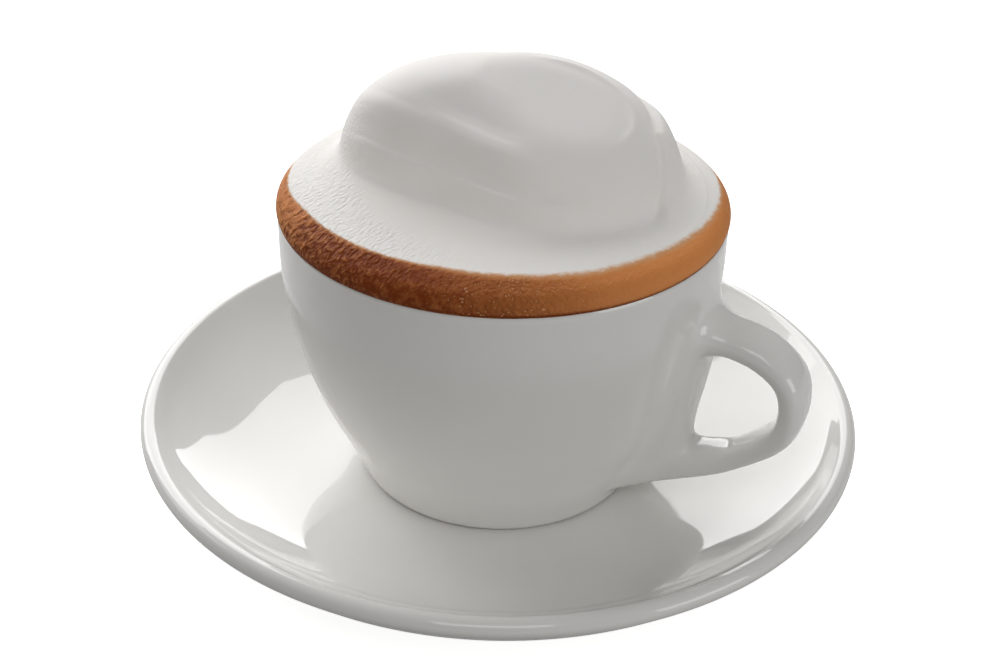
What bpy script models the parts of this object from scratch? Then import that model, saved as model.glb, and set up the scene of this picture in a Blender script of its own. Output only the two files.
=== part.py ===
"""Cappuccino in its white porcelain cup and saucer.

Three solids: the saucer, the cup with its looped handle, and the drink, which
fills the cup to the lip and rises above it as a crown of milk foam with a
folded, spooned mound on top.

Metres, +Z up. The origin is the centre of the saucer's foot on the table, and
the handle points along +X.
"""
import math

import bmesh
import bpy
import numpy as np
from mathutils import Matrix, Vector

# How finely round shapes are cut.
TURN_STEPS = 64
LIP_STEPS = 4
HANDLE_STEPS = 40
HANDLE_SIDES = 12

# Saucer: a shallow dish with a rounded lip and a low foot ring.
SAUCER_RADIUS = 0.0750
SAUCER_LIP_RADIUS = 0.0020
SAUCER_LIP_HEIGHT = 0.0192
SAUCER_WELL_HEIGHT = 0.0065
SAUCER_WELL_RADIUS = 0.0300
SAUCER_THICKNESS = 0.0040
SAUCER_FOOT_OUTER = 0.0400
SAUCER_FOOT_INNER = 0.0362

# Cup: radius of the outer wall at heights above the cup's foot.
CUP_GAP = 0.0003
CUP_WALL = ((0.0048, 0.0308), (0.0117, 0.0341), (0.0214, 0.0385), (0.0331, 0.0421), (0.0458, 0.0444))
CUP_FOOT_RADIUS = 0.0284
CUP_FOOT_EDGE = 0.0291
CUP_FOOT_EDGE_HEIGHT = 0.0009
CUP_FOOT_HOLLOW = 0.0012
CUP_RIM_RADIUS = 0.0448
CUP_LIP_HEIGHT = 0.0585
CUP_LIP_RADIUS = 0.0015
CUP_WALL_THICKNESS = 0.0030
CUP_FLOOR_HEIGHT = 0.0055

# Handle: a closed loop round the finger hole. Each row is a point of the hole's
# outline and the point of the outer outline across from it, as distances from
# the cup's axis and heights above the cup's foot.
HANDLE_LOOP = (
    ((0.0603, 0.0342), (0.0655, 0.0360)),
    ((0.0554, 0.0383), (0.0580, 0.0437)),
    ((0.0483, 0.0396), (0.0475, 0.0456)),
    ((0.0452, 0.0376), (0.0418, 0.0430)),
    ((0.0438, 0.0280), (0.0386, 0.0275)),
    ((0.0430, 0.0195), (0.0330, 0.0115)),
    ((0.0440, 0.0166), (0.0298, 0.0034)),
    ((0.0475, 0.0166), (0.0440, 0.0090)),
    ((0.0523, 0.0184), (0.0545, 0.0148)),
    ((0.0600, 0.0261), (0.0646, 0.0237)),
)
HANDLE_HALF_WIDTH = 0.0056
HANDLE_SQUARENESS = 2.6

# Drink: the foam covers the lip and stands proud of it. Each row of the crown
# is a radius and a height above the foam's lower edge.
DRINK_GAP = 0.0003
FOAM_EDGE_ANGLE = math.radians(35)
FOAM_CROWN = ((0.0450, 0.0011), (0.0445, 0.0024), (0.0429, 0.0037), (0.0402, 0.0044))
PLATEAU_HEIGHT = 0.0045

# Mound of spooned foam on the crown. Its shape is given in directions of its
# own, turned from the handle: x to its right, y to its back, angles in degrees
# from its right. A swell is an order, a size and a phase of the outline.
MOUND_TURN = math.radians(25)
MOUND_CENTRE = (0.0, 0.0080)
MOUND_RADIUS = 0.0300
MOUND_SWELLS = ((1, 0.0036, -3), (2, 0.0050, -40), (3, 0.0019, -209))
HEADING_TOP = 100
MOUND_HEIGHT = 0.0226
MOUND_POWER = 0.56
MOUND_FOOT = 0.014
MOUND_RINGS = 18
PLATEAU_RINGS = 3

# The front right slumps: softer at the foot, and flatter.
SLUMP_HEADING = -52
SLUMP_SPREAD = 26
SLUMP_POWER = 0.14
SLUMP_FOOT = 0.012

# A flat swipe of the spoon faces the front right, with a raised rim.
SWIPE_HEIGHT = 0.0223
SWIPE_SLOPE = (-0.202, 0.262)
SWIPE_RIM = 0.00045
SWIPE_RIM_WINDOW = (-45, -25, 40, 70)
SWIPE_RUN_IN = 0.001
# It ends towards the mound's left, where its plane rises clear of the foam.
SWIPE_END = (0.001, 0.009, 0.006)

# Folds swept round the left and the front: how far they stand out or lie back,
# by the share of the outline's radius. The inner crease ends on the left.
FOLDS = (
    (0.60, 0.0), (0.70, 0.0005), (0.77, 0.0009), (0.81, 0.0006), (0.86, -0.0011), (0.885, -0.0013),
    (0.92, -0.0003), (0.955, 0.0006), (0.98, 0.0005), (1.03, 0.0),
)
INNER_CREASE = (
    (0.36, 0.0), (0.50, -0.0005), (0.60, -0.0012), (0.66, -0.0017), (0.69, -0.0011), (0.73, 0.0001),
)
FOLDS_WINDOW = (-205, -173, -92, -52)
INNER_CREASE_WINDOW = (-170, -145, -90, -60)
# Folds lie further in towards the right, and further out round the left end:
# share of the radius for each degree past a heading.
FOLDS_DRIFT_RIGHT = (0.0009, -120)
FOLDS_DRIFT_LEFT = (0.0040, -165)

# Full left shoulder: height, share of the radius and its spread, heading and its spread.
SHOULDER = (0.0016, 0.62, 0.22, -185, 38)

# Crease up the right side, and the roll of foam outside it.
SIDE_CREASE = (0.0013, 0.81, 0.030)
SIDE_ROLL = (0.0012, 0.90, 0.060)
SIDE_WINDOW = (-44, -34, 5, 35)
SIDE_DRIFT = (0.0069, -12)
# The foot of the mound fades out this near the crown's edge.
PLATEAU_FADE = 0.004


def clear_scene():
    for old in list(bpy.data.objects):
        bpy.data.objects.remove(old, do_unlink=True)


def principled(name, colour, roughness):
    material = bpy.data.materials.new(name)
    material.use_nodes = True
    shader = material.node_tree.nodes["Principled BSDF"]
    shader.inputs["Base Color"].default_value = (*colour, 1.0)
    shader.inputs["Roughness"].default_value = roughness
    shader.inputs["Metallic"].default_value = 0.0
    return material


def smooth_run(points, steps):
    """Points on a smooth curve through the given ones (Catmull-Rom)."""
    count = len(points)
    padded = [2 * Vector(points[0]) - Vector(points[1])]
    padded += [Vector(point) for point in points]
    padded.append(2 * Vector(points[-1]) - Vector(points[-2]))
    run = []
    for index in range(count - 1):
        run += [catmull_rom(padded[index:index + 4], step / steps) for step in range(steps)]
    run.append(Vector(points[-1]))
    return run


def catmull_rom(four, t):
    a, b, c, d = four
    straight = 2 * b + (c - a) * t
    bend = (2 * a - 5 * b + 4 * c - d) * t ** 2 + (3 * b - a - 3 * c + d) * t ** 3
    return 0.5 * (straight + bend)


def arc(centre, radius, start, end, steps):
    """Points along an arc in the profile plane, angles in degrees."""
    angles = [math.radians(start + (end - start) * step / steps) for step in range(steps + 1)]
    return [Vector((centre[0] + radius * math.cos(a), centre[1] + radius * math.sin(a))) for a in angles]


def turn(profile):
    """A closed bmesh turned from a profile that starts and ends on the axis."""
    mesh = bmesh.new()
    verts = [mesh.verts.new((max(r, 0.0), 0.0, z)) for r, z in profile]
    edges = [mesh.edges.new(pair) for pair in zip(verts, verts[1:])]
    bmesh.ops.spin(
        mesh, geom=verts + edges, cent=(0, 0, 0), axis=(0, 0, 1), dvec=(0, 0, 0),
        angle=2 * math.pi, steps=TURN_STEPS, use_merge=True, use_duplicate=False,
    )
    bmesh.ops.remove_doubles(mesh, verts=mesh.verts, dist=1e-6)
    bmesh.ops.recalc_face_normals(mesh, faces=mesh.faces)
    return mesh


def add_object(name, mesh, material):
    """The named object of a finished bmesh, shaded smooth."""
    bmesh.ops.triangulate(mesh, faces=mesh.faces)
    data = bpy.data.meshes.new(name)
    mesh.to_mesh(data)
    mesh.free()
    data.materials.append(material)
    data.shade_smooth()
    data.set_sharp_from_angle(angle=math.radians(50))
    made = bpy.data.objects.new(name, data)
    bpy.context.collection.objects.link(made)
    return made


def saucer_profile():
    """From the well's centre over the lip and back under to the axis."""
    well = SAUCER_WELL_HEIGHT
    lip_centre = (SAUCER_RADIUS - SAUCER_LIP_RADIUS, SAUCER_LIP_HEIGHT)
    under = well - SAUCER_THICKNESS
    top = smooth_run((
        (SAUCER_WELL_RADIUS, well),
        (0.0400, well + 0.0007),
        (0.0520, well + 0.0032),
        (0.0620, well + 0.0072),
        (0.0680, well + 0.0107),
        (lip_centre[0] - 0.0014, lip_centre[1] + 0.0013),
    ), 2)
    lip = arc(lip_centre, SAUCER_LIP_RADIUS, 120, -40, LIP_STEPS)
    below = smooth_run((
        (0.0700, well + 0.0070),
        (0.0620, well + 0.0022),
        (0.0520, under + 0.0024),
        (SAUCER_FOOT_OUTER + 0.0016, under + 0.0006),
    ), 2)
    foot = [
        Vector((SAUCER_FOOT_OUTER, 0.0004)),
        Vector((SAUCER_FOOT_OUTER - 0.0006, 0.0)),
        Vector((SAUCER_FOOT_INNER + 0.0006, 0.0)),
        Vector((SAUCER_FOOT_INNER, 0.0004)),
        Vector((SAUCER_FOOT_INNER - 0.0010, under)),
    ]
    return [Vector((0.0, well))] + top + lip + below + foot + [Vector((0.0, under))]


def cup_wall():
    """The outer wall from the foot's edge up to the lip's outer side."""
    start = ((CUP_FOOT_EDGE, CUP_FOOT_EDGE_HEIGHT),)
    end = ((CUP_RIM_RADIUS, CUP_LIP_HEIGHT),)
    return smooth_run(start + tuple((r, z) for z, r in CUP_WALL) + end, 2)


def cup_lip_centre():
    return Vector((CUP_RIM_RADIUS - CUP_LIP_RADIUS, CUP_LIP_HEIGHT))


def hollow_wall(gap):
    """The cup's inner wall from the lip down to the floor, drawn in by a gap."""
    inset = CUP_WALL_THICKNESS + gap
    floor = CUP_FLOOR_HEIGHT + gap
    outer = cup_wall()
    slopes = [outer[min(i + 1, len(outer) - 1)] - outer[max(i - 1, 0)] for i in range(len(outer))]
    inner = [p + inset * Vector((-s.y, s.x)).normalized() for p, s in zip(outer, slopes)]
    side = [p for p in inner if p.y > floor + 0.0040]
    corner = smooth_run((side[0], (side[0].x - 0.0030, floor + 0.0012), (side[0].x - 0.0085, floor)), 2)
    return list(reversed(side)) + corner[1:] + [Vector((0.0, floor))]


def cup_profile():
    """From the axis under the foot, up the outside, over the lip and down the inside."""
    under = [Vector((0.0, CUP_FOOT_HOLLOW)), Vector((CUP_FOOT_RADIUS - 0.0030, CUP_FOOT_HOLLOW))]
    foot = [Vector((CUP_FOOT_RADIUS - 0.0022, 0.0)), Vector((CUP_FOOT_RADIUS, 0.0))]
    lip = arc(cup_lip_centre(), CUP_LIP_RADIUS, 0, 180, LIP_STEPS)
    return under + foot + cup_wall()[:-1] + lip + hollow_wall(0.0)[1:]


def closed_loop(rows, steps):
    """Evenly timed points on a smooth closed curve through the rows."""
    count = len(rows)
    loop = []
    for step in range(steps):
        place = step * count / steps
        index = int(place)
        four = [Vector(rows[(index + offset) % count]) for offset in (-1, 0, 1, 2)]
        loop.append(catmull_rom(four, place - index))
    return loop


def handle_mesh():
    """The handle's loop: rounded sections between its hole and its outer outline."""
    hole = closed_loop([inner for inner, outer in HANDLE_LOOP], HANDLE_STEPS)
    outline = closed_loop([outer for inner, outer in HANDLE_LOOP], HANDLE_STEPS)
    mesh = bmesh.new()
    rings = []
    for inner, outer in zip(hole, outline):
        middle = (inner + outer) / 2
        half = (outer - inner) / 2
        ring = []
        for side in range(HANDLE_SIDES):
            along, across = rounded(2 * math.pi * side / HANDLE_SIDES, HANDLE_SQUARENESS)
            place = middle + half * along
            ring.append(mesh.verts.new((place.x, HANDLE_HALF_WIDTH * across, place.y)))
        rings.append(ring)
    for ring, following in zip(rings, rings[1:] + rings[:1]):
        for side in range(HANDLE_SIDES):
            other = (side + 1) % HANDLE_SIDES
            mesh.faces.new((ring[side], ring[other], following[other], following[side]))
    bmesh.ops.recalc_face_normals(mesh, faces=mesh.faces)
    return mesh


def rounded(angle, squareness):
    """A point on a superellipse of unit half widths."""
    c, s = math.cos(angle), math.sin(angle)
    power = 2 / squareness
    return math.copysign(abs(c) ** power, c), math.copysign(abs(s) ** power, s)


def combine(target, tool, operation):
    """Apply a Boolean on the target with the tool, and remove the tool."""
    modifier = target.modifiers.new(operation.title(), "BOOLEAN")
    modifier.operation = operation
    modifier.object = tool
    modifier.solver = "EXACT"
    graph = bpy.context.evaluated_depsgraph_get()
    joined = bpy.data.meshes.new_from_object(target.evaluated_get(graph))
    target.modifiers.clear()
    target.data = joined
    bpy.data.objects.remove(tool, do_unlink=True)


def smooth_step(t):
    t = np.clip(t, 0, 1)
    return t * t * (3 - 2 * t)


def window(angle, corners):
    """From 0 up to 1 between the first two angles, and back to 0 between the last two."""
    start, full, fall, end = corners
    return smooth_step((angle - start) / (full - start)) * smooth_step((end - angle) / (end - fall))


def bell(t, centre, spread):
    return np.exp(-((t - centre) / spread) ** 2)


def past(heading, drift):
    """Grows by so much for each degree past a heading."""
    return drift[0] * np.maximum(heading - drift[1], 0)


def short_of(heading, drift):
    """Grows by so much for each degree short of a heading."""
    return drift[0] * np.maximum(drift[1] - heading, 0)


def soft_min(a, b, reach):
    """The lower of two heights, run into each other."""
    share = np.clip(0.5 + 0.5 * (b - a) / reach, 0, 1)
    return b + (a - b) * share - reach * share * (1 - share)


def smooth_through(t, rows):
    """A smooth curve through rows of place and value, with no swing between them."""
    places = np.array([place for place, value in rows])
    values = np.array([value for place, value in rows])
    slopes = np.diff(values) / np.diff(places)
    tangents = np.zeros(len(rows))
    for index in range(1, len(rows) - 1):
        before, after = slopes[index - 1:index + 1]
        if before * after > 0:
            tangents[index] = 2 * before * after / (before + after)
    t = np.clip(t, places[0], places[-1])
    index = np.clip(np.searchsorted(places, t) - 1, 0, len(rows) - 2)
    width = places[index + 1] - places[index]
    u = (t - places[index]) / width
    rise = (3 - 2 * u) * u ** 2
    start = u * (1 - u) ** 2 * width * tangents[index]
    end = u ** 2 * (u - 1) * width * tangents[index + 1]
    return values[index] * (1 - rise) + values[index + 1] * rise + start + end


def mound_outline(angle):
    """The mound's radius in each direction from its centre."""
    radius = np.full_like(angle, MOUND_RADIUS)
    for order, size, phase in MOUND_SWELLS:
        radius = radius + size * np.cos(order * angle - math.radians(phase))
    return radius


def mound_height(x, y):
    """Foam above the plateau, at distances from the mound's centre."""
    angle = np.arctan2(y, x)
    share = np.hypot(x, y) / mound_outline(angle)
    heading = np.degrees(angle)
    heading = np.where(heading > HEADING_TOP, heading - 360, heading)

    slump = bell(heading, SLUMP_HEADING, SLUMP_SPREAD)
    inside = 1 - share ** 2
    foot = MOUND_FOOT + SLUMP_FOOT * slump
    inside = 0.5 * (inside + np.sqrt(inside ** 2 + 4 * foot ** 2))
    dome = MOUND_HEIGHT * inside ** (MOUND_POWER + SLUMP_POWER * slump)

    end_start, end_width, end_rise = SWIPE_END
    swipe = SWIPE_HEIGHT + SWIPE_SLOPE[0] * x + SWIPE_SLOPE[1] * y
    swipe = swipe + end_rise * smooth_step((-x - end_start) / end_width)
    rim = SWIPE_RIM * bell(dome - swipe, -SWIPE_RIM, SWIPE_RIM) * window(heading, SWIPE_RIM_WINDOW)

    place = share + past(heading, FOLDS_DRIFT_RIGHT) - short_of(heading, FOLDS_DRIFT_LEFT)
    creased = smooth_through(place, INNER_CREASE + FOLDS[2:])
    inner = window(heading, INNER_CREASE_WINDOW)
    folds = smooth_through(place, FOLDS) * (1 - inner) + creased * inner
    folds = folds * window(heading, FOLDS_WINDOW)

    size, middle, spread, towards, fan = SHOULDER
    shoulder = size * bell(share, middle, spread) * bell(heading, towards, fan)

    drift = short_of(heading, SIDE_DRIFT)
    crease = SIDE_CREASE[0] * bell(share, SIDE_CREASE[1] + drift, SIDE_CREASE[2])
    roll = SIDE_ROLL[0] * bell(share, SIDE_ROLL[1] + drift, SIDE_ROLL[2])
    side = (roll - crease) * window(heading, SIDE_WINDOW)
    return np.maximum(soft_min(dome, swipe, SWIPE_RUN_IN) + rim + folds + shoulder + side, 0)


def drink_mesh():
    """Coffee and foam as one turned body, its top lifted into the mound."""
    lip = cup_lip_centre()
    over = CUP_LIP_RADIUS + DRINK_GAP
    edge_degrees = math.degrees(FOAM_EDGE_ANGLE)
    covered = arc(lip, over, edge_degrees, 180, LIP_STEPS)
    edge_height = covered[0].y
    crown = [Vector((r, edge_height + h)) for r, h in reversed(FOAM_CROWN)]
    top_height = edge_height + PLATEAU_HEIGHT
    rings = MOUND_RINGS + PLATEAU_RINGS
    flat = [Vector((crown[0].x * ring / rings, top_height)) for ring in range(rings)]
    mesh = turn(flat + crown + covered + hollow_wall(DRINK_GAP)[1:])
    lift_top(mesh, crown[0].x, top_height, rings)
    return mesh


def lift_top(mesh, radius, height, rings):
    """Move the flat top's rings onto the mound and the plateau round it."""
    centre = np.array(MOUND_CENTRE)
    for vert in mesh.verts:
        reach = math.hypot(vert.co.x, vert.co.y)
        if vert.co.z < height - 1e-6 or reach > radius - 1e-6:
            continue
        ring = round(reach / radius * rings)
        angle = math.atan2(vert.co.y, vert.co.x) - MOUND_TURN
        heading = np.array((math.cos(angle), math.sin(angle)))
        outline = heading * mound_outline(np.array(angle))
        if ring <= MOUND_RINGS:
            place = outline * math.sin(0.5 * math.pi * ring / MOUND_RINGS)
        else:
            share = (ring - MOUND_RINGS) / PLATEAU_RINGS
            place = outline + (heading * radius - centre - outline) * share
        lift = float(mound_height(*place))
        place = place + centre
        lift = lift * float(smooth_step((radius - math.hypot(*place)) / PLATEAU_FADE))
        place = Vector((place[0], place[1], height + lift))
        place.rotate(Matrix.Rotation(MOUND_TURN, 3, "Z"))
        vert.co = place


def build():
    clear_scene()
    saucer_glaze = principled("saucer glazed porcelain", (0.86, 0.86, 0.85), 0.12)
    cup_glaze = principled("cup glazed porcelain", (0.86, 0.86, 0.85), 0.12)
    foam = principled("milk foam", (0.88, 0.86, 0.82), 0.55)

    add_object("saucer", turn(saucer_profile()), saucer_glaze)

    foot_height = SAUCER_WELL_HEIGHT + CUP_GAP
    cup = add_object("cup", turn(cup_profile()), cup_glaze)
    handle = add_object("handle loop", handle_mesh(), cup_glaze)
    combine(cup, handle, "UNION")
    cup.location.z = foot_height

    drink = add_object("drink", drink_mesh(), foam)
    drink.location.z = foot_height


build()
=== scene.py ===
"""Cappuccino: the looks of a white porcelain cup and saucer under a mound of milk foam.

Every size is in metres. The frame's origin is the centre of the saucer's foot
on the table, +Z is up and the cup's handle points along +X.
"""

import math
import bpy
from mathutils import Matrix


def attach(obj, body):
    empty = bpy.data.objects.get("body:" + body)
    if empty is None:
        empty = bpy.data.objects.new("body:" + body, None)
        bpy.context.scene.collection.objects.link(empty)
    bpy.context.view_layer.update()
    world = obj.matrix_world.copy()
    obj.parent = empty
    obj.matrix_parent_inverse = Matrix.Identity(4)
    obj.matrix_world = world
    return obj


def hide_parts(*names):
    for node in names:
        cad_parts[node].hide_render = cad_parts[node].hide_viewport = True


bl_info = {
    "name": "Cappuccino",
    "version": (1, 0, 0),
    "blender": (4, 5, 0),
    "location": "3D View > Sidebar > Cappuccino",
    "description": "Glazed cup and saucer, milk foam and a plain studio",
    "category": "Add Mesh",
}

import bmesh
import bpy
import numpy as np
from bpy.props import FloatProperty, FloatVectorProperty, IntProperty, PointerProperty
from mathutils import Matrix, Vector
from mathutils.bvhtree import BVHTree

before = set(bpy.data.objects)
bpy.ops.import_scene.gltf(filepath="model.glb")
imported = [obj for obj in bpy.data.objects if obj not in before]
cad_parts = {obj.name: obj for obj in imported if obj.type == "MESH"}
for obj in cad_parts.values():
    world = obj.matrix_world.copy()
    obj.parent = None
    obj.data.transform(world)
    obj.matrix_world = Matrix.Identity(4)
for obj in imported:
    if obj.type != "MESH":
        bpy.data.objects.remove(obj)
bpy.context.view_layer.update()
MATHS = "ShaderNodeMath"
NOISE = "ShaderNodeTexNoise"
MM = 0.001

# The photograph's view: the handle is turned this far from the camera's right.
VIEW_AZIMUTH = math.radians(25)


def hex_colour(code):
    """Linear colour of an sRGB hex value."""
    parts = [int(code[place:place + 2], 16) / 255 for place in (1, 3, 5)]
    return tuple(part / 12.92 if part <= 0.04045 else ((part + 0.055) / 1.055) ** 2.4 for part in parts)


# Saucer.
SAUCER_RADIUS = 75.0 * MM
SAUCER_LIP_RADIUS = 2.0 * MM
SAUCER_LIP_HEIGHT = 19.2 * MM
SAUCER_WELL_HEIGHT = 6.5 * MM
SAUCER_WELL_RADIUS = 30.0 * MM
SAUCER_THICKNESS = 4.0 * MM
# Its side from the well up to the lip, and back down below: radius and height
# over the well, in millimetres. Then its foot ring, as radius and height.
SAUCER_SIDE = ((40.0, 0.7), (52.0, 3.2), (62.0, 7.2), (68.0, 10.7))
SAUCER_LIP_START = Vector((-1.4, 1.3)) * MM
SAUCER_LIP_ARC = (120, -40)
SAUCER_UNDERSIDE = ((70.0, 7.0), (62.0, 2.2), (52.0, -1.6), (41.6, -3.4))
SAUCER_FOOT = ((40.2, 1.2), (40.0, 0.4), (39.4, 0.0), (36.8, 0.0), (36.2, 0.4))
SAUCER_FOOT_INNER = 35.2 * MM
SAUCER_STEPS = 9
SAUCER_FOOT_STEPS = 3

# Cup: heights above its foot.
CUP_FOOT = 6.8 * MM
CUP_WALL = ((4.8, 30.8), (11.7, 34.1), (21.4, 38.5), (33.1, 42.1), (45.8, 44.4))
CUP_FOOT_RADIUS = 28.4 * MM
CUP_FOOT_EDGE = 29.1 * MM
CUP_FOOT_EDGE_HEIGHT = 0.9 * MM
CUP_FOOT_HOLLOW = 1.2 * MM
# Where the foot's ring and the hollow inside it start, in from its outer radius.
CUP_FOOT_RING = 2.2 * MM
CUP_FOOT_RING_INNER = 3.0 * MM
CUP_RIM_RADIUS = 44.8 * MM
CUP_LIP_HEIGHT = 58.5 * MM
CUP_LIP_RADIUS = 1.5 * MM
CUP_WALL_THICKNESS = 3.0 * MM
CUP_FLOOR_HEIGHT = 5.5 * MM
# The hollow's rounded corner: where it starts over the floor, and points on it
# as how far in from there and how high over the floor.
CUP_CORNER_START = 4.0 * MM
CUP_CORNER = ((3.0 * MM, 1.2 * MM), (8.5 * MM, 0.0))
CUP_STEPS = 8

# Handle: points of the finger hole's outline, and of the outer outline across.
HANDLE_LOOP = (
    ((60.3, 34.2), (65.5, 36.0)),
    ((55.4, 38.3), (58.0, 43.7)),
    ((48.3, 39.6), (47.5, 45.6)),
    ((45.2, 37.6), (41.8, 43.0)),
    ((43.8, 28.0), (38.6, 27.5)),
    ((43.0, 19.5), (33.0, 11.5)),
    ((44.0, 16.6), (29.8, 3.4)),
    ((47.5, 16.6), (44.0, 9.0)),
    ((52.3, 18.4), (54.5, 14.8)),
    ((60.0, 26.1), (64.6, 23.7)),
)
HANDLE_HALF_WIDTH = 5.6 * MM
HANDLE_SQUARENESS = 2.6
HANDLE_STEPS = 200
HANDLE_SIDES = 48
# How far the clay is smoothed into the wall round the handle's roots, and the
# heights above the foot over which that starts.
HANDLE_FILLET = 7.0 * MM
HANDLE_FILLET_START = (0.8 * MM, 5.0 * MM)
CUP_VOXEL = 0.72 * MM
SETTLE_ROUNDS = 4

# Foam.
DRINK_GAP = 0.3 * MM
FOAM_EDGE_ANGLE = 35
FOAM_CROWN = ((45.0, 1.1), (44.5, 2.4), (42.9, 3.7), (40.2, 4.4))
PLATEAU_HEIGHT = 4.5 * MM
FOAM_TURNS = 480
CROWN_STEPS = 7

# Ring of crema in the mound's own directions, in millimetres: heading, how far
# it reaches in from the crown's edge, over what length it fades into the foam,
# and how dark it is. A thin painted shadow line lies along the cup's lip,
# where the foam meets it.
CREMA_EDGE = 45.0
LIP_SHADOW_WIDTH = 0.5
CREMA = (
    (-215, -0.6, 0.8, 0.2), (-190, 1.3, 0.8, 0.3), (-174, 2.6, 0.9, 0.3), (-161, 4.6, 1.0, 0.4),
    (-144, 6.0, 1.3, 0.85), (-123, 7.3, 1.8, 1.0), (-108, 8.2, 2.8, 0.9), (-90, 7.6, 3.8, 0.7),
    (-74, 6.6, 4.2, 0.45), (-63, 5.9, 4.2, 0.2), (-47, 5.3, 4.0, 0.05), (-31, 4.3, 3.2, 0.0),
    (-15, 3.0, 2.4, 0.1), (-3, 2.1, 1.8, 0.2), (20, 0.8, 1.2, 0.2), (50, -0.6, 0.8, 0.2),
)
# Where the ring is craggy and where it bubbles: a heading and its spread.
CRAGGY = (-150, 34)
BUBBLY = (-86, 20)
# How grainy the white foam is away from the crags, and how far in from the edge
# that goes and over what length it fades.
GRAIN = 0.25
GRAIN_REACH = (20, 8)
FOAM_LAYERS = ("crema", "dark_crema_and_painted_shade", "craggy", "grainy", "bubbly")

# Mound of spooned foam on the crown. Its shape is given in directions of its
# own, turned from the handle: x to its right, y to its back, angles in degrees
# from its right. A swell is an order, a size and a phase of the outline.
MOUND_TURN = VIEW_AZIMUTH
MOUND_CENTRE = (0.0, 0.0080)
MOUND_RADIUS = 0.0300
MOUND_SWELLS = ((1, 0.0036, -3), (2, 0.0050, -40), (3, 0.0019, -209))
HEADING_TOP = 100
MOUND_HEIGHT = 0.0226
MOUND_POWER = 0.56
MOUND_FOOT = 0.007
MOUND_RINGS = 112
PLATEAU_RINGS = 34

# The front right slumps: softer at the foot, and flatter.
SLUMP_HEADING = -58
SLUMP_SPREAD = 32
SLUMP_POWER = 0.26
SLUMP_FOOT = 0.045

# A flat swipe of the spoon faces the front right, with a raised rim.
SWIPE_HEIGHT = 0.0223
SWIPE_SLOPE = (-0.202, 0.285)
SWIPE_RIM = 0.00045
SWIPE_RIM_WINDOW = (-45, -25, 40, 70)
SWIPE_RIM_START = (0.15, 0.45)
# Its front edge is crisp and its back edge runs softly into the foam.
SWIPE_RUN_IN = (0.0015, 0.0024)
SWIPE_BACK = (-0.002, 0.010)
# It ends towards the mound's left, where its plane rises clear of the foam.
SWIPE_END = (0.002, 0.018, 0.0070)

# Folds swept round the left and the front: how far they stand out or lie back,
# by the share of the outline's radius. The inner crease ends on the left.
FOLDS = (
    (0.60, 0.0), (0.75, 0.0004), (0.83, 0.0010), (0.870, 0.0005), (0.915, -0.0008), (0.940, -0.0009),
    (0.965, 0.0), (0.985, 0.0003), (1.01, 0.0002), (1.06, 0.0),
)
INNER_CREASE = (
    (0.34, 0.0), (0.48, -0.0004), (0.58, -0.0009), (0.64, -0.0011), (0.70, -0.0007), (0.77, 0.0004),
)
FOLDS_WINDOW = (-205, -160, -92, -52)
INNER_CREASE_WINDOW = (-160, -125, -92, -60)
# Folds lie further in towards the right, and further out round the left end:
# share of the radius for each degree past a heading.
FOLDS_DRIFT_RIGHT = (0.0009, -120)
FOLDS_DRIFT_LEFT = (0.0015, -165)

# Full left shoulder: height, share of the radius and its spread, heading and its spread.
SHOULDER = (0.0008, 0.66, 0.24, -165, 50)
# It is squarer than the rest, and stands further out at its foot.
SHOULDER_POWER = -0.17
SHOULDER_REACH = 0.0010

# Crease up the right side, and the roll of foam outside it.
SIDE_CREASE = (0.0013, 0.81, 0.030)
SIDE_ROLL = (0.0012, 0.90, 0.060)
SIDE_WINDOW = (-44, -34, 5, 35)
SIDE_DRIFT = (0.0069, -12)
# The foot of the mound fades out this near the crown's edge.
PLATEAU_FADE = 0.004

# Camera: how high it stands and leans, its distance and the point it looks at,
# as far to its right, back and up.
CAMERA_ELEVATION = math.radians(31.24)
CAMERA_ROLL = math.radians(1.4)
CAMERA_DISTANCE = 370.3 * MM
CAMERA_TARGET = Vector((-0.08, 0.0, 36.3)) * MM
CAMERA_SENSOR = 36.0

# Area lights aim at this height over the table.
LIGHT_AIM = 0.04


class PorcelainSettings(bpy.types.PropertyGroup):
    """Glazed ware: the cup and the saucer."""
    glaze: FloatVectorProperty(
        name="Glaze", description="Colour of the white glaze over the clay",
        subtype="COLOR", size=3, min=0, max=1, default=hex_colour("#EFEEEB"))
    roughness: FloatProperty(
        name="Roughness", description="Roughness of the fired glaze", min=0, max=1, default=0.035)
    turns: IntProperty(
        name="Turning steps", description="Steps round the axis of a turned piece",
        min=24, max=400, default=240)


class FoamSettings(bpy.types.PropertyGroup):
    """Milk foam and the brown crema round it."""
    milk: FloatVectorProperty(
        name="Milk foam", description="Colour of the steamed milk foam",
        subtype="COLOR", size=3, min=0, max=1, default=hex_colour("#FCF9F5"))
    crema: FloatVectorProperty(
        name="Crema", description="Colour of the coffee crema",
        subtype="COLOR", size=3, min=0, max=1, default=hex_colour("#E69656"))
    # Also the colour of the painted shade in the crema's grooves and in the line along the lip.
    dark_crema_and_painted_shade: FloatVectorProperty(
        name="Dark crema", description="Colour of the crema along the lip",
        subtype="COLOR", size=3, min=0, max=1, default=hex_colour("#7E370A"))
    crema_light: FloatVectorProperty(
        name="Light crema", description="Colour where crema runs into milk foam",
        subtype="COLOR", size=3, min=0, max=1, default=hex_colour("#DDA878"))
    roughness: FloatProperty(
        name="Roughness", description="Roughness of the moist foam", min=0, max=1, default=0.6)


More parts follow.
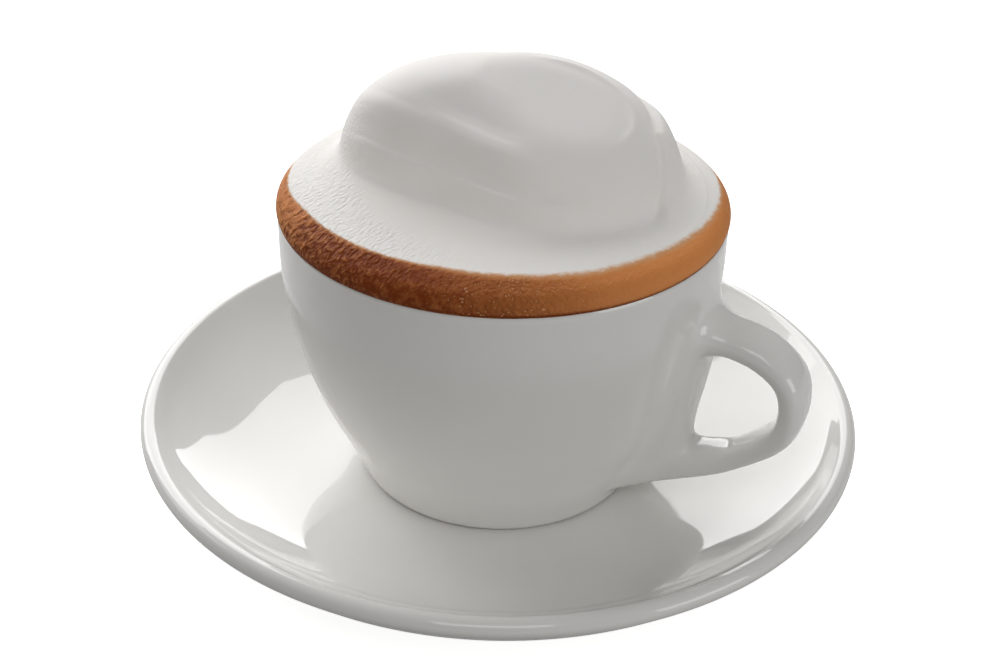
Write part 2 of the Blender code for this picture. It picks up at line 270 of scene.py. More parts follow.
class StageSettings(bpy.types.PropertyGroup):
    """Studio round the cup."""
    floor: FloatVectorProperty(
        name="Floor", description="Colour of the pale floor",
        subtype="COLOR", size=3, min=0, max=1, default=hex_colour("#F8F8F8"))
    floor_size: FloatProperty(
        name="Floor size", description="Side of the square floor", unit="LENGTH", min=0.5, default=4.0)
    sky: FloatProperty(
        name="Fill", description="Strength of the light from all round", min=0, default=0.21)
    key: FloatProperty(
        name="Back panel", description="Power of the upright panel behind, in watts", min=0, default=13.8)
    front: FloatProperty(
        name="Front light", description="Power of the light above the camera, in watts", min=0, default=2.3)
    side: FloatProperty(
        name="Side light", description="Power of the low light on the right, in watts", min=0, default=2.8)
    left: FloatProperty(
        name="Left light", description="Power of the high light on the left, in watts", min=0, default=1.8)
    glow: FloatProperty(
        name="Floor glow", description="How brightly the lit floor shines by itself", min=0, default=0.72)
    lens: FloatProperty(
        name="Focal length", description="Focal length of the camera, in millimetres", min=10, default=64.13)


def add_node(tree, kind, inputs=(), **settings):
    """Add a shader node. A node or socket given for an input is linked, any other is a value."""
    node = tree.nodes.new(kind)
    for key, value in settings.items():
        setattr(node, key, value)
    for key, value in dict(inputs).items():
        if isinstance(value, bpy.types.Node):
            value = value.outputs[0]
        if isinstance(value, bpy.types.NodeSocket):
            tree.links.new(value, node.inputs[key])
        else:
            node.inputs[key].default_value = value
    return node


def new_material(name):
    material = bpy.data.materials.new(name)
    material.use_nodes = True
    tree = material.node_tree
    return material, tree, tree.nodes["Principled BSDF"]


def catmull_rom(four, t):
    a, b, c, d = four
    straight = 2 * b + (c - a) * t
    bend = (2 * a - 5 * b + 4 * c - d) * t ** 2 + (3 * b - a - 3 * c + d) * t ** 3
    return 0.5 * (straight + bend)


def smooth_run(points, steps):
    """Points on a smooth curve through the given ones."""
    padded = [2 * Vector(points[0]) - Vector(points[1])]
    padded += [Vector(point) for point in points]
    padded.append(2 * Vector(points[-1]) - Vector(points[-2]))
    run = []
    for index in range(len(points) - 1):
        run += [catmull_rom(padded[index:index + 4], step / steps) for step in range(steps)]
    run.append(Vector(points[-1]))
    return run


def closed_loop(rows, steps):
    """Evenly timed points on a smooth closed curve through the rows."""
    count = len(rows)
    loop = []
    for step in range(steps):
        place = step * count / steps
        index = int(place)
        four = [Vector(rows[(index + offset) % count]) for offset in (-1, 0, 1, 2)]
        loop.append(catmull_rom(four, place - index))
    return loop


def arc(centre, radius, start, end, steps):
    """Points along an arc in the profile plane, angles in degrees."""
    angles = [math.radians(start + (end - start) * step / steps) for step in range(steps + 1)]
    return [Vector((centre[0] + radius * math.cos(a), centre[1] + radius * math.sin(a))) for a in angles]


def turn(profile, steps):
    """A closed bmesh turned from a profile that starts and ends on the axis."""
    mesh = bmesh.new()
    verts = [mesh.verts.new((max(r, 0.0), 0.0, z)) for r, z in profile]
    edges = [mesh.edges.new(pair) for pair in zip(verts, verts[1:])]
    bmesh.ops.spin(
        mesh, geom=verts + edges, cent=(0, 0, 0), axis=(0, 0, 1), dvec=(0, 0, 0),
        angle=2 * math.pi, steps=steps, use_merge=True, use_duplicate=False,
    )
    bmesh.ops.remove_doubles(mesh, verts=mesh.verts, dist=1e-6)
    bmesh.ops.recalc_face_normals(mesh, faces=mesh.faces)
    return mesh


def add_piece(name, mesh, material, node):
    """Make the piece that stands for a CAD node, at the origin and shaded smooth."""
    data = bpy.data.meshes.new(name)
    mesh.to_mesh(data)
    mesh.free()
    data.materials.append(material)
    data.shade_smooth()
    piece = bpy.data.objects.new(name, data)
    bpy.context.collection.objects.link(piece)
    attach(piece, "root")
    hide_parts(node)
    return piece


def glazed_porcelain(name, settings):
    """White hard porcelain under a clear fired glaze: a near mirror that is
    never quite flat, because the glaze runs a little before it sets."""
    material, tree, shader = new_material(name)
    place = add_node(tree, "ShaderNodeTexCoord").outputs["Object"]
    # Slow drift of the white, 25 mm across, as thickness of the glaze varies.
    drift = add_node(tree, NOISE, {"Vector": place, "Scale": 1 / (25 * MM), "Detail": 2.0})
    tint = add_node(tree, "ShaderNodeMix", {
        "Factor": drift.outputs["Fac"],
        "A": (*[part * 0.975 for part in settings.glaze], 1.0),
        "B": (*settings.glaze, 1.0),
    }, data_type="RGBA")
    # Ripple of the glaze, about 9 mm from crest to crest and a few microns deep.
    ripple = add_node(tree, NOISE, {"Vector": place, "Scale": 1 / (9 * MM), "Detail": 1.0})
    bump = add_node(tree, "ShaderNodeBump", {
        "Strength": 0.25, "Distance": 0.02 * MM, "Height": ripple.outputs["Fac"]})
    tree.links.new(tint.outputs["Result"], shader.inputs["Base Color"])
    tree.links.new(bump.outputs["Normal"], shader.inputs["Normal"])
    shader.inputs["Roughness"].default_value = settings.roughness
    shader.inputs["IOR"].default_value = 1.52
    shader.inputs["Subsurface Weight"].default_value = 0.0
    return material


def milk_foam(settings):
    """Steamed milk foam with a ring of espresso crema: moist fine bubbles that
    scatter light softly, brown where coffee oils gather along the lip. Painted
    shade darkens the crema's grooves and a thin line along the lip, and painted
    highlights lighten its ridge crests."""
    material, tree, shader = new_material("moist milk foam and crema")
    place = add_node(tree, "ShaderNodeTexCoord").outputs["Object"]
    crema, dark_crema_and_painted_shade, craggy, grainy, bubbly = [
        add_node(tree, "ShaderNodeAttribute", attribute_name=name).outputs["Fac"] for name in FOAM_LAYERS
    ]
    # Ridges of the craggy crema, 0.95 mm apart, and grain of 0.65 mm on the foam,
    # both drawn out the way that the foam was poured.
    drawn = add_node(tree, "ShaderNodeMapping", {
        "Vector": place, "Rotation": (0, 0, math.radians(82)), "Scale": (1.9, 1.0, 1.0),
    }, vector_type="TEXTURE")
    ridges = add_node(tree, NOISE, {
        "Vector": drawn, "Scale": 1 / (0.95 * MM), "Detail": 2.0, "Roughness": 0.5}).outputs["Fac"]
    grain = add_node(tree, NOISE, {
        "Vector": drawn, "Scale": 1 / (0.65 * MM), "Detail": 1.0, "Roughness": 0.5}).outputs["Fac"]
    # Blotches of 1.6 mm and bubbles of 0.8 mm.
    blotch = add_node(tree, NOISE, {
        "Vector": place, "Scale": 1 / (1.6 * MM), "Detail": 3.0, "Roughness": 0.6}).outputs["Fac"]
    cells = add_node(tree, "ShaderNodeTexVoronoi", {"Vector": place, "Scale": 1 / (0.8 * MM)})
    cells = cells.outputs["Distance"]

    # The blotches break up the crema's inner edge, and only that.
    clear = add_node(tree, MATHS, {0: 1.0, 1: crema}, operation="SUBTRACT")
    edge = add_node(tree, MATHS, {0: crema, 1: clear}, operation="MULTIPLY")
    swing = add_node(tree, MATHS, {0: edge, 1: 3.2}, operation="MULTIPLY")
    uneven = add_node(tree, MATHS, {0: blotch, 1: 0.5}, operation="SUBTRACT")
    uneven = add_node(tree, MATHS, {0: uneven, 1: swing, 2: crema}, operation="MULTIPLY_ADD")
    ramp = add_node(tree, "ShaderNodeValToRGB", {"Fac": uneven})
    stops = (
        (0.06, settings.milk), (0.50, settings.crema_light), (0.92, settings.crema), (1.0, settings.crema),
    )
    elements = ramp.color_ramp.elements
    while len(elements) < len(stops):
        elements.new(0.5)
    for element, (position, colour) in zip(elements, stops):
        element.position = position
        element.color = (*colour, 1.0)

    # Coffee oils darken it unevenly; painted shade darkens the grooves between the ridges and the line along
    # the lip.
    patchy = add_node(tree, MATHS, {0: blotch, 1: 0.8, 2: 0.6}, operation="MULTIPLY_ADD")
    oil_and_painted_shade = add_node(tree, MATHS, {0: dark_crema_and_painted_shade, 1: patchy}, operation="MULTIPLY")
    below = add_node(tree, MATHS, {0: 0.47, 1: ridges}, operation="SUBTRACT")
    below = add_node(tree, MATHS, {0: below, 1: 0.0}, operation="MAXIMUM")
    painted_groove_shade = add_node(tree, MATHS, {0: below, 1: craggy}, operation="MULTIPLY")
    oil_and_painted_shade = add_node(tree, MATHS, {0: painted_groove_shade, 1: 4.0, 2: oil_and_painted_shade}, operation="MULTIPLY_ADD")
    brown = add_node(tree, "ShaderNodeMix", {
        "Factor": oil_and_painted_shade, "A": ramp, "B": (*settings.dark_crema_and_painted_shade, 1.0)}, data_type="RGBA")
    # Crests of the ridges are painted lighter: a painted highlight on their tops.
    above = add_node(tree, MATHS, {0: ridges, 1: 0.55}, operation="SUBTRACT")
    above = add_node(tree, MATHS, {0: above, 1: 4.0}, operation="MULTIPLY")
    above = add_node(tree, MATHS, {0: above, 1: 0.0}, operation="MAXIMUM")
    painted_crest_highlight = add_node(tree, MATHS, {0: above, 1: craggy}, operation="MULTIPLY")
    ridged = add_node(tree, "ShaderNodeMix", {
        "Factor": painted_crest_highlight, "A": brown.outputs["Result"], "B": (*settings.crema, 1.0)}, data_type="RGBA")
    # The largest bubbles catch the light at their middle.
    size = add_node(tree, MATHS, {0: blotch, 1: 0.38}, operation="SUBTRACT")
    size = add_node(tree, MATHS, {0: size, 1: 1.1}, operation="MULTIPLY")
    glint = add_node(tree, MATHS, {0: cells, 1: size}, operation="LESS_THAN")
    shine = add_node(tree, MATHS, {0: bubbly, 1: 0.7}, operation="MULTIPLY")
    glint = add_node(tree, MATHS, {0: glint, 1: shine}, operation="MULTIPLY")
    colour = add_node(tree, "ShaderNodeMix", {
        "Factor": glint, "A": ridged.outputs["Result"], "B": (*settings.crema_light, 1.0)}, data_type="RGBA")

    # Relief: ridges, grain on the white foam, bubbles, and a little grain on the crema.
    height = add_node(tree, MATHS, {0: craggy, 1: 1.6}, operation="MULTIPLY")
    height = add_node(tree, MATHS, {0: ridges, 1: height}, operation="MULTIPLY")
    for layer, share, relief in ((grainy, 0.45, grain), (bubbly, 0.35, cells), (crema, 0.22, grain)):
        part = add_node(tree, MATHS, {0: layer, 1: share}, operation="MULTIPLY")
        height = add_node(tree, MATHS, {0: part, 1: relief, 2: height}, operation="MULTIPLY_ADD")
    bump = add_node(tree, "ShaderNodeBump", {"Strength": 1.0, "Distance": 1.1 * MM, "Height": height})
    tree.links.new(colour.outputs["Result"], shader.inputs["Base Color"])
    tree.links.new(bump.outputs["Normal"], shader.inputs["Normal"])
    shader.inputs["Roughness"].default_value = settings.roughness
    shader.inputs["IOR"].default_value = 1.34
    shader.inputs["Specular IOR Level"].default_value = 0.15
    shader.inputs["Subsurface Weight"].default_value = 0.15
    shader.inputs["Subsurface Radius"].default_value = (1.4, 1.1, 0.9)
    shader.inputs["Subsurface Scale"].default_value = 1.0 * MM
    return material


def in_metres(rows, lift):
    """Rows of radius and height in millimetres as points, raised by a height in metres."""
    return [Vector((radius * MM, lift + height * MM)) for radius, height in rows]


def saucer_profile(steps):
    """From the well's centre over the lip and back under to the axis."""
    well = SAUCER_WELL_HEIGHT
    under = well - SAUCER_THICKNESS
    lip_centre = Vector((SAUCER_RADIUS - SAUCER_LIP_RADIUS, SAUCER_LIP_HEIGHT))
    flat = [Vector((SAUCER_WELL_RADIUS * share, well)) for share in (0.0, 0.3, 0.6, 0.85, 0.95)]
    side = [Vector((SAUCER_WELL_RADIUS, well))] + in_metres(SAUCER_SIDE, well)
    top = smooth_run(side + [lip_centre + SAUCER_LIP_START], steps)
    lip = arc(lip_centre, SAUCER_LIP_RADIUS, *SAUCER_LIP_ARC, 2 * steps)
    below = smooth_run(in_metres(SAUCER_UNDERSIDE, well), steps)
    ring = in_metres(SAUCER_FOOT, 0.0) + [Vector((SAUCER_FOOT_INNER, under))]
    foot = smooth_run(ring, SAUCER_FOOT_STEPS)
    return flat + top + lip + below + foot + [Vector((0.0, under))]


def cup_wall(steps):
    """The outer wall from the foot's edge up to the lip's outer side."""
    rows = [(CUP_FOOT_EDGE, CUP_FOOT_EDGE_HEIGHT)]
    rows += [(radius * MM, height * MM) for height, radius in CUP_WALL]
    rows.append((CUP_RIM_RADIUS, CUP_LIP_HEIGHT))
    return smooth_run(rows, steps)


def cup_lip_centre():
    return Vector((CUP_RIM_RADIUS - CUP_LIP_RADIUS, CUP_LIP_HEIGHT))


def hollow_wall(gap, steps):
    """The cup's inner wall from the lip down to the floor, drawn in by a gap."""
    inset = CUP_WALL_THICKNESS + gap
    floor = CUP_FLOOR_HEIGHT + gap
    outer = cup_wall(steps)
    slopes = [outer[min(i + 1, len(outer) - 1)] - outer[max(i - 1, 0)] for i in range(len(outer))]
    inner = [p + inset * Vector((-s.y, s.x)).normalized() for p, s in zip(outer, slopes)]
    side = [p for p in inner if p.y > floor + CUP_CORNER_START]
    low = side[0]
    corner = smooth_run([low] + [(low.x - across, floor + rise) for across, rise in CUP_CORNER], steps)
    return list(reversed(side)) + corner[1:] + [Vector((0.0, floor))]


def cup_profile(steps):
    """From the axis under the foot, up the outside, over the lip and down the inside."""
    hollow = CUP_FOOT_RADIUS - CUP_FOOT_RING_INNER
    under = [Vector((0.0, CUP_FOOT_HOLLOW)), Vector((hollow, CUP_FOOT_HOLLOW))]
    foot = [Vector((CUP_FOOT_RADIUS - CUP_FOOT_RING, 0.0)), Vector((CUP_FOOT_RADIUS, 0.0))]
    lip = arc(cup_lip_centre(), CUP_LIP_RADIUS, 0, 180, 3 * steps)
    return under + foot + cup_wall(steps)[:-1] + lip + hollow_wall(0.0, steps)[1:]


def superellipse(angle, squareness):
    """A point on a rounded square of unit half widths."""
    c, s = math.cos(angle), math.sin(angle)
    power = 2 / squareness
    return math.copysign(abs(c) ** power, c), math.copysign(abs(s) ** power, s)


def handle_mesh(steps, sides):
    """The handle's loop: rounded sections between its hole and its outer outline."""
    hole = closed_loop([inner for inner, outer in HANDLE_LOOP], steps)
    outline = closed_loop([outer for inner, outer in HANDLE_LOOP], steps)
    mesh = bmesh.new()
    rings = []
    for inner, outer in zip(hole, outline):
        middle = (inner + outer) / 2 * MM
        half = (outer - inner) / 2 * MM
        ring = []
        for side in range(sides):
            along, across = superellipse(2 * math.pi * side / sides, HANDLE_SQUARENESS)
            place = middle + half * along
            ring.append(mesh.verts.new((place.x, HANDLE_HALF_WIDTH * across, place.y)))
        rings.append(ring)
    for ring, following in zip(rings, rings[1:] + rings[:1]):
        for side in range(sides):
            other = (side + 1) % sides
            mesh.faces.new((ring[side], ring[other], following[other], following[side]))
    bmesh.ops.recalc_face_normals(mesh, faces=mesh.faces)
    return mesh


def temporary_object(name, mesh):
    data = bpy.data.meshes.new(name)
    mesh.to_mesh(data)
    made = bpy.data.objects.new(name, data)
    bpy.context.collection.objects.link(made)
    return made


def fused_and_remeshed(body, tool, voxel):
    """Union of two bmeshes as one even mesh of small quads."""
    target = temporary_object("cup body", body)
    other = temporary_object("handle loop", tool)
    union = target.modifiers.new("Union", "BOOLEAN")
    union.operation = "UNION"
    union.object = other
    union.solver = "EXACT"
    remesh = target.modifiers.new("Remesh", "REMESH")
    remesh.mode = "VOXEL"
    remesh.voxel_size = voxel
    graph = bpy.context.evaluated_depsgraph_get()
    fused = bmesh.new()
    result = target.evaluated_get(graph).to_mesh()
    fused.from_mesh(result)
    for made in (target, other):
        data = made.data
        bpy.data.objects.remove(made, do_unlink=True)
        bpy.data.meshes.remove(data)
    return fused


def profile_gap(points, profile):
    """Distance and outward way from each (radius, height) to a turned surface."""
    line = np.array([tuple(point) for point in profile])
    start, step = line[:-1], np.diff(line, axis=0)
    square = (step ** 2).sum(1)
    gaps = np.empty(len(points))
    ways = np.empty((len(points), 2))
    nearest = np.empty(len(points), dtype=int)
    for low in range(0, len(points), 4000):
        some = points[low:low + 4000]
        offset = some[:, None] - start[None]
        share = np.clip((offset * step[None]).sum(2) / square[None], 0, 1)
        apart = offset - share[..., None] * step[None]
        best = (apart ** 2).sum(2).argmin(1)
        rows = np.arange(len(some))
        chosen = apart[rows, best]
        along = step[best] / np.sqrt(square[best])[:, None]
        outward = np.stack([along[:, 1], -along[:, 0]], 1)
        gaps[low:low + 4000] = (chosen * outward).sum(1)
        ways[low:low + 4000] = outward
        nearest[low:low + 4000] = best
    return gaps, ways, nearest


def settle_on_surface(fused, profile, outer_count, handle):
    """Move each point onto the turned wall and the handle, run into each other."""
    tree = BVHTree.FromBMesh(handle)
    place = np.array([vert.co[:] for vert in fused.verts])
    low, high = HANDLE_FILLET_START
    for _ in range(SETTLE_ROUNDS):
        radius = np.hypot(place[:, 0], place[:, 1])
        wall_gap, way, nearest = profile_gap(np.stack([radius, place[:, 2]], 1), profile)
        spoke = place[:, :2] / np.maximum(radius, 1e-9)[:, None]
        wall_way = np.column_stack([spoke * way[:, :1], way[:, 1]])
        loop_gap = np.full(len(place), 1.0)
        loop_way = wall_way.copy()
        beside = (place[:, 0] > 0) & (np.abs(place[:, 1]) < 3 * HANDLE_HALF_WIDTH) & (nearest < outer_count)
        for index in np.flatnonzero(beside):
            point = Vector(place[index])
            found, normal, _, _ = tree.find_nearest(point)
            apart = point - found
            side = 1.0 if apart.dot(normal) >= 0 else -1.0
            loop_gap[index] = side * apart.length
            if apart.length > 1e-7:
                normal = side * apart.normalized()
            loop_way[index] = normal
        fillet = HANDLE_FILLET * np.clip((place[:, 2] - low) / (high - low), 0.02, 1)
        share = np.clip(0.5 + 0.5 * (loop_gap - wall_gap) / fillet, 0, 1)
        gap = loop_gap + (wall_gap - loop_gap) * share - fillet * share * (1 - share)
        way = loop_way + (wall_way - loop_way) * share[:, None]
        way /= np.maximum(np.linalg.norm(way, axis=1), 1e-9)[:, None]
        place -= way * gap[:, None]
    for vert, spot in zip(fused.verts, place):
        vert.co = spot


def smooth_step(t):
    t = np.clip(t, 0, 1)
    return t * t * (3 - 2 * t)


def window(angle, corners):
    """From 0 up to 1 between the first two angles, and back to 0 between the last two."""
    start, full, fall, end = corners
    return smooth_step((angle - start) / (full - start)) * smooth_step((end - angle) / (end - fall))


def bell(t, centre, spread):
    return np.exp(-((t - centre) / spread) ** 2)


def past(heading, drift):
    """Grows by so much for each degree past a heading."""
    return drift[0] * np.maximum(heading - drift[1], 0)


def short_of(heading, drift):
    """Grows by so much for each degree short of a heading."""
    return drift[0] * np.maximum(drift[1] - heading, 0)


def soft_min(a, b, reach):
    """The lower of two heights, run into each other."""
    share = np.clip(0.5 + 0.5 * (b - a) / reach, 0, 1)
    return b + (a - b) * share - reach * share * (1 - share)


def smooth_through(t, rows):
    """A smooth curve through rows of place and value, with no swing between them."""
    places = np.array([place for place, value in rows])
    values = np.array([value for place, value in rows])
    slopes = np.diff(values) / np.diff(places)
    tangents = np.zeros(len(rows))
    for index in range(1, len(rows) - 1):
        before, after = slopes[index - 1:index + 1]
        if before * after > 0:
            tangents[index] = 2 * before * after / (before + after)
    t = np.clip(t, places[0], places[-1])
    index = np.clip(np.searchsorted(places, t) - 1, 0, len(rows) - 2)
    width = places[index + 1] - places[index]
    u = (t - places[index]) / width
    rise = (3 - 2 * u) * u ** 2
    start = u * (1 - u) ** 2 * width * tangents[index]
    end = u ** 2 * (u - 1) * width * tangents[index + 1]
    return values[index] * (1 - rise) + values[index + 1] * rise + start + end


def mound_heading(angle):
    """Direction in degrees, from the far side round the left and front to the far side."""
    heading = np.degrees(np.arctan2(np.sin(angle), np.cos(angle)))
    return np.where(heading > HEADING_TOP, heading - 360, heading)


def shoulder_share(heading):
    apart = (heading - SHOULDER[3] + 180) % 360 - 180
    return bell(apart, 0.0, SHOULDER[4])


def mound_outline(angle):
    """The mound's radius in each direction from its centre."""
    radius = np.full_like(angle, MOUND_RADIUS)
    for order, size, phase in MOUND_SWELLS:
        radius = radius + size * np.cos(order * angle - math.radians(phase))
    return radius + SHOULDER_REACH * shoulder_share(mound_heading(angle))


def mound_height(x, y):
    """Foam above the plateau, at distances from the mound's centre."""
    angle = np.arctan2(y, x)
    share = np.hypot(x, y) / mound_outline(angle)
    heading = mound_heading(angle)

    slump = bell(heading, SLUMP_HEADING, SLUMP_SPREAD)
    inside = 1 - share ** 2
    foot = MOUND_FOOT + SLUMP_FOOT * slump
    inside = 0.5 * (inside + np.sqrt(inside ** 2 + 4 * foot ** 2))
    power = MOUND_POWER + SLUMP_POWER * slump + SHOULDER_POWER * shoulder_share(heading)
    dome = MOUND_HEIGHT * inside ** power

    end_start, end_width, end_rise = SWIPE_END
    swipe = SWIPE_HEIGHT + SWIPE_SLOPE[0] * x + SWIPE_SLOPE[1] * y
    swipe = swipe + end_rise * smooth_step((-x - end_start) / end_width)
    rim = SWIPE_RIM * bell(dome - swipe, -SWIPE_RIM, SWIPE_RIM) * window(heading, SWIPE_RIM_WINDOW)

    start, full = SWIPE_RIM_START
    rim = rim * smooth_step((share - start) / (full - start))

    place = share + past(heading, FOLDS_DRIFT_RIGHT) - short_of(heading, FOLDS_DRIFT_LEFT)
    creased = smooth_through(place, INNER_CREASE + FOLDS[2:])
    inner = window(heading, INNER_CREASE_WINDOW)
    folds = smooth_through(place, FOLDS) * (1 - inner) + creased * inner
    folds = folds * window(heading, FOLDS_WINDOW)

    shoulder = SHOULDER[0] * bell(share, SHOULDER[1], SHOULDER[2]) * shoulder_share(heading)

    drift = short_of(heading, SIDE_DRIFT)
    crease = SIDE_CREASE[0] * bell(share, SIDE_CREASE[1] + drift, SIDE_CREASE[2])
    roll = SIDE_ROLL[0] * bell(share, SIDE_ROLL[1] + drift, SIDE_ROLL[2])
    side = (roll - crease) * window(heading, SIDE_WINDOW)
    back = smooth_step((y - SWIPE_BACK[0]) / (SWIPE_BACK[1] - SWIPE_BACK[0]))
    run_in = SWIPE_RUN_IN[0] + (SWIPE_RUN_IN[1] - SWIPE_RUN_IN[0]) * back
    return np.maximum(soft_min(dome, swipe, run_in) + rim + folds + shoulder + side, 0)


def foam_edge_height():
    """Height over the cup's foot at which the foam meets the lip."""
    return cup_lip_centre().y + (CUP_LIP_RADIUS + DRINK_GAP) * math.sin(math.radians(FOAM_EDGE_ANGLE))


def foam_profile():
    """Crown, lip and hidden side of the drink, turned round the cup's axis."""
    lip = cup_lip_centre()
    covered = arc(lip, CUP_LIP_RADIUS + DRINK_GAP, FOAM_EDGE_ANGLE, 180, 10)
    edge_height = covered[0].y
    crown = [(radius * MM, edge_height + height * MM) for radius, height in FOAM_CROWN]
    crown = smooth_run([tuple(covered[0])] + crown, CROWN_STEPS)[1:]
    crown.reverse()
    rings = MOUND_RINGS + PLATEAU_RINGS
    top = edge_height + PLATEAU_HEIGHT
    flat = [Vector((crown[0].x * ring / rings, top)) for ring in range(rings)]
    return flat, crown, covered + hollow_wall(DRINK_GAP, 2)[1:]


def shape_foam(mesh, flat, crown):
    """Lift the flat top into the mound. Gives where each point is, in the mound's directions."""
    rings = MOUND_RINGS + PLATEAU_RINGS
    radius, top = crown[0].x, flat[0].y
    place = np.array([vert.co[:] for vert in mesh.verts])
    reach = np.hypot(place[:, 0], place[:, 1])
    on_top = (place[:, 2] > top - 1e-6) & (reach < radius - 1e-6)
    angle = np.arctan2(place[:, 1], place[:, 0]) - MOUND_TURN
    heading = np.stack([np.cos(angle), np.sin(angle)], 1)
    spot = heading * reach[:, None]
    ring = np.round(reach / radius * rings)
    outline = heading * mound_outline(angle)[:, None]
    inner = outline * np.sin(0.5 * math.pi * np.clip(ring / MOUND_RINGS, 0, 1))[:, None]
    share = np.clip((ring - MOUND_RINGS) / PLATEAU_RINGS, 0, 1)[:, None]
    moved = inner + (heading * radius - MOUND_CENTRE - outline) * share
    lift = mound_height(moved[:, 0], moved[:, 1])
    moved = moved + MOUND_CENTRE
    lift = lift * smooth_step((radius - np.hypot(moved[:, 0], moved[:, 1])) / PLATEAU_FADE)
    spot = np.where(on_top[:, None], moved, spot)
    height = place[:, 2] + np.where(on_top, lift, 0)
    cosine, sine = math.cos(MOUND_TURN), math.sin(MOUND_TURN)
    turned = np.column_stack([
        spot[:, 0] * cosine - spot[:, 1] * sine,
        spot[:, 1] * cosine + spot[:, 0] * sine,
        height,
    ])
    for vert, co in zip(mesh.verts, turned):
        vert.co = co
    return spot[:, 0], spot[:, 1], height


def paint_foam(mesh, x, y, z):
    """Point attributes: cover and darkness of the crema, with a painted shadow line along the lip, and how
    rough the foam is.
    """
    heading = mound_heading(np.arctan2(y, x))
    headings, *rows = np.array(CREMA).T
    reach, fade, darkness = [np.interp(heading, headings, row) for row in rows]
    inward = CREMA_EDGE - np.hypot(x, y) / MM
    cover = smooth_step(0.5 + (reach - inward) / fade)
    # Painted shadow: a thin dark line on the foam where it meets the cup's lip.
    line = bell((z - foam_edge_height()) / MM, 0.0, LIP_SHADOW_WIDTH) * np.clip(reach / 3, 0, 1)
    crema_darkening_and_lip_shadow = np.clip(darkness * cover ** 2 + line, 0, 1.6)
    craggy = bell(heading, *CRAGGY)
    grainy = np.clip(craggy + GRAIN, 0, 1) * (1 - cover)
    grainy = grainy * smooth_step((GRAIN_REACH[0] - inward) / GRAIN_REACH[1])
    bubbly = bell(heading, *BUBBLY) * cover
    for name, values in zip(FOAM_LAYERS, (cover, crema_darkening_and_lip_shadow, craggy * cover, grainy, bubbly)):
        layer = mesh.verts.layers.float.new(name)
        for vert, value in zip(mesh.verts, values):
            vert[layer] = value


class CAPPUCCINO_OT_saucer(bpy.types.Operator):
    """Turn the glazed saucer"""
    bl_idname = "cappuccino.saucer"
    bl_label = "Saucer"

    def execute(self, context):
        settings = context.scene.cappuccino_porcelain
        mesh = turn(saucer_profile(SAUCER_STEPS), settings.turns)
        material = glazed_porcelain("saucer glazed porcelain", settings)
        add_piece("saucer_dish", mesh, material, "saucer")
        return {"FINISHED"}


class CAPPUCCINO_OT_cup(bpy.types.Operator):
    """Turn the glazed cup and run its handle into the wall"""
    bl_idname = "cappuccino.cup"
    bl_label = "Cup"

    def execute(self, context):
        settings = context.scene.cappuccino_porcelain
        profile = cup_profile(CUP_STEPS)
        body = turn(profile, settings.turns)
        handle = handle_mesh(HANDLE_STEPS, HANDLE_SIDES)
        fused = fused_and_remeshed(body, handle, CUP_VOXEL)
        lip_top = max(range(len(profile)), key=lambda index: profile[index].y)
        settle_on_surface(fused, profile, lip_top, handle)
        body.free()
        handle.free()
        bmesh.ops.translate(fused, verts=fused.verts, vec=(0, 0, CUP_FOOT))
        material = glazed_porcelain("cup glazed porcelain", settings)
        add_piece("cup_and_handle", fused, material, "cup")
        return {"FINISHED"}


class CAPPUCCINO_OT_foam(bpy.types.Operator):
    """Shape the crown of milk foam and the mound spooned onto it"""
    bl_idname = "cappuccino.foam"
    bl_label = "Milk foam"

    def execute(self, context):
        settings = context.scene.cappuccino_foam
        flat, crown, rest = foam_profile()
        mesh = turn(flat + crown + rest, FOAM_TURNS)
        x, y, z = shape_foam(mesh, flat, crown)
        paint_foam(mesh, x, y, z)
        bmesh.ops.translate(mesh, verts=mesh.verts, vec=(0, 0, CUP_FOOT))
        add_piece("milk_foam", mesh, milk_foam(settings), "drink")
        return {"FINISHED"}


def add_light(name, heading, rise, distance, size, power, level=False):
    """A soft area light, its heading counted from the camera's right.

    It faces the cup, or stands upright where it is level."""
    heading, rise = math.radians(heading) + VIEW_AZIMUTH, math.radians(rise)
    middle = Vector((0.0, 0.0, LIGHT_AIM))
    level_way = Vector((math.cos(heading), math.sin(heading), 0.0))
    way = math.cos(rise) * level_way + Vector((0.0, 0.0, math.sin(rise)))
    data = bpy.data.lights.new(name, "AREA")
    data.shape = "RECTANGLE"
    data.size, data.size_y = size
    data.energy = power
    light = bpy.data.objects.new(name, data)
    bpy.context.collection.objects.link(light)
    light.location = middle + distance * way
    facing = -level_way if level else -way
    light.rotation_euler = facing.to_track_quat("-Z", "Y").to_euler()
    return light


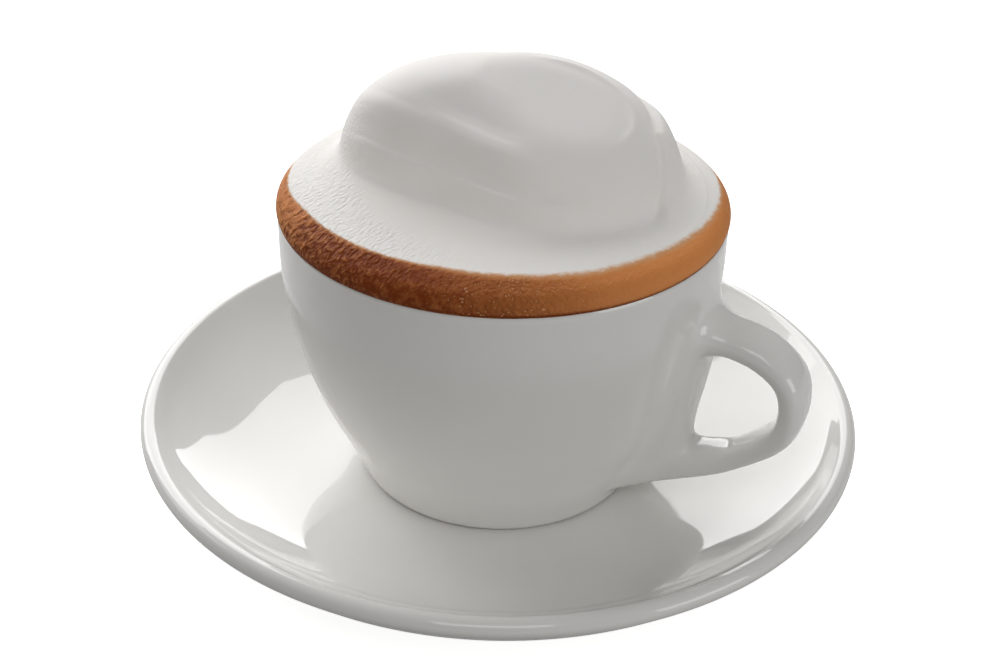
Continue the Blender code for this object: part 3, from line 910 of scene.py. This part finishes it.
class CAPPUCCINO_OT_stage(bpy.types.Operator):
    """Set up the floor, the lights and the camera"""
    bl_idname = "cappuccino.stage"
    bl_label = "Stage"

    def execute(self, context):
        settings = context.scene.cappuccino_stage
        self.add_floor(settings)
        self.add_lights(context, settings)
        self.add_camera(context, settings)
        return {"FINISHED"}

    def add_floor(self, settings):
        mesh = bmesh.new()
        bmesh.ops.create_grid(mesh, x_segments=1, y_segments=1, size=settings.floor_size / 2)
        data = bpy.data.meshes.new("floor")
        mesh.to_mesh(data)
        mesh.free()
        material, tree, shader = new_material("matt white studio floor")
        shader.inputs["Base Color"].default_value = (*settings.floor, 1.0)
        shader.inputs["Roughness"].default_value = 0.9
        shader.inputs["Emission Color"].default_value = (1.0, 1.0, 1.0, 1.0)
        # The glaze mirrors the floor as it is lit, without its glow.
        mirrored = add_node(tree, "ShaderNodeLightPath").outputs["Is Glossy Ray"]
        glow = add_node(tree, MATHS, {
            0: mirrored, 1: -settings.glow, 2: settings.glow}, operation="MULTIPLY_ADD")
        tree.links.new(glow.outputs[0], shader.inputs["Emission Strength"])
        data.materials.append(material)
        floor = bpy.data.objects.new("floor", data)
        bpy.context.collection.objects.link(floor)
        floor.visible_diffuse = False

    def add_lights(self, context, settings):
        world = bpy.data.worlds.new("studio")
        world.use_nodes = True
        background = world.node_tree.nodes["Background"]
        background.inputs["Color"].default_value = (1.0, 0.985, 0.97, 1.0)
        background.inputs["Strength"].default_value = settings.sky
        context.scene.world = world
        add_light("back panel", 110, 31.8, 1.094, (1.35, 0.95), settings.key, level=True)
        add_light("left light", 152, 30, 1.15, (0.70, 0.60), settings.left)
        add_light("front light", 270, 45, 1.24, (0.62, 0.50), settings.front)
        add_light("side light", 330, 15, 1.22, (0.62, 0.50), settings.side)

    def add_camera(self, context, settings):
        data = bpy.data.cameras.new("photo camera")
        data.lens = settings.lens
        data.sensor_width = CAMERA_SENSOR
        data.clip_start = 0.01
        camera = bpy.data.objects.new("photo camera", data)
        bpy.context.collection.objects.link(camera)
        target = Matrix.Rotation(VIEW_AZIMUTH, 4, "Z") @ CAMERA_TARGET
        back = Vector((
            math.sin(VIEW_AZIMUTH) * math.cos(CAMERA_ELEVATION),
            -math.cos(VIEW_AZIMUTH) * math.cos(CAMERA_ELEVATION),
            math.sin(CAMERA_ELEVATION),
        ))
        right = Vector((math.cos(VIEW_AZIMUTH), math.sin(VIEW_AZIMUTH), 0.0))
        up = back.cross(right)
        right = math.cos(CAMERA_ROLL) * right + math.sin(CAMERA_ROLL) * up
        up = back.cross(right)
        turned = Matrix((right, up, back)).transposed().to_4x4()
        turned.translation = target + back * CAMERA_DISTANCE
        camera.matrix_world = turned
        context.scene.camera = camera
        context.scene.view_settings.view_transform = "Standard"


class CAPPUCCINO_PT_panel(bpy.types.Panel):
    """Cappuccino panel in the sidebar"""
    bl_label = "Cappuccino"
    bl_idname = "CAPPUCCINO_PT_panel"
    bl_space_type = "VIEW_3D"
    bl_region_type = "UI"
    bl_category = "Cappuccino"

    def draw(self, context):
        scene = context.scene
        for operator in OPERATORS:
            self.layout.operator(operator.bl_idname)
        for group in (scene.cappuccino_porcelain, scene.cappuccino_foam, scene.cappuccino_stage):
            box = self.layout.box()
            for name in group.__annotations__:
                box.prop(group, name)


OPERATORS = (CAPPUCCINO_OT_stage, CAPPUCCINO_OT_saucer, CAPPUCCINO_OT_cup, CAPPUCCINO_OT_foam)
GROUPS = (
    ("cappuccino_porcelain", PorcelainSettings),
    ("cappuccino_foam", FoamSettings),
    ("cappuccino_stage", StageSettings),
)


def register():
    for name, group in GROUPS:
        bpy.utils.register_class(group)
        setattr(bpy.types.Scene, name, PointerProperty(type=group))
    for operator in OPERATORS:
        bpy.utils.register_class(operator)
    bpy.utils.register_class(CAPPUCCINO_PT_panel)


def unregister():
    bpy.utils.unregister_class(CAPPUCCINO_PT_panel)
    for operator in reversed(OPERATORS):
        bpy.utils.unregister_class(operator)
    for name, group in reversed(GROUPS):
        delattr(bpy.types.Scene, name)
        bpy.utils.unregister_class(group)


def main():
    register()
    bpy.ops.cappuccino.stage()
    bpy.ops.cappuccino.saucer()
    bpy.ops.cappuccino.cup()
    bpy.ops.cappuccino.foam()


if __name__ == "__main__":
    main()
